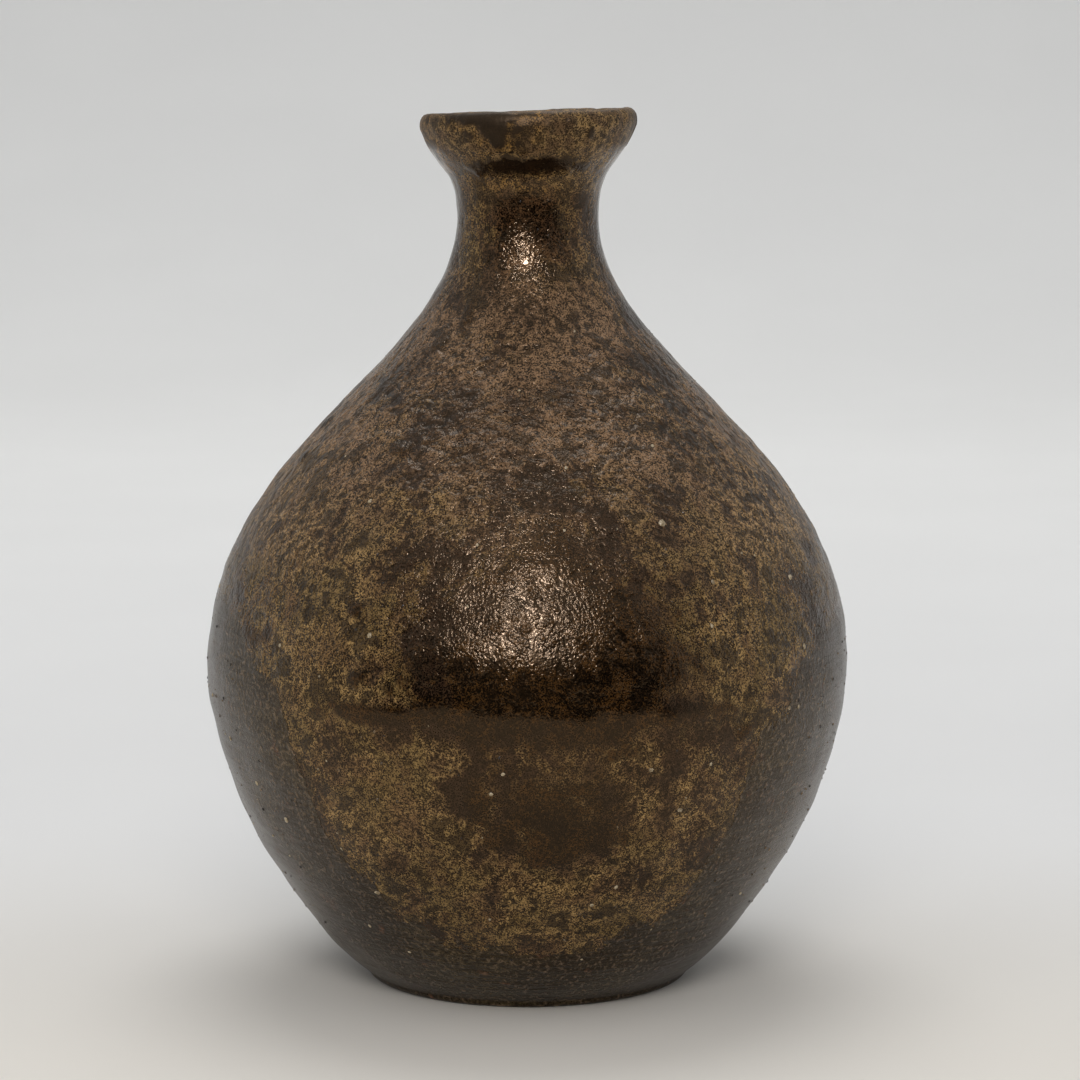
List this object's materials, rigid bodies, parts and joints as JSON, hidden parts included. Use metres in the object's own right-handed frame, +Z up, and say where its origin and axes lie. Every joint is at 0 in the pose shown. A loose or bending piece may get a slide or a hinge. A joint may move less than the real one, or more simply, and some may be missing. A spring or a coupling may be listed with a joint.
{
  "type": "sake bottle",
  "caption": "Wheel-thrown stoneware tokkuri with a round belly, a narrow neck and a flared lip, under a dark natural ash glaze; holds and pours warm sake.",
  "frame": {"origin": "centre of the foot, on the surface the bottle stands on", "axes": "+Z up along the axis the bottle was thrown on, towards the mouth; the glazed front faces -Y"},
  "size_m": [0.1042, 0.1042, 0.14],
  "materials": {
    "iron_stoneware": "unglazed iron-rich stoneware, wood-fired dark brown, satin where flying ash has just sealed it, dry inside and under the foot",
    "natural_ash_glaze": "thin natural ash glaze, chocolate brown mottled with olive gold, semi-gloss with a fine orange peel"
  },
  "bodies": {
    "root": {"stoneware_body": "iron_stoneware", "ash_glaze_coat": "natural_ash_glaze"}
  },
  "joints": []
}
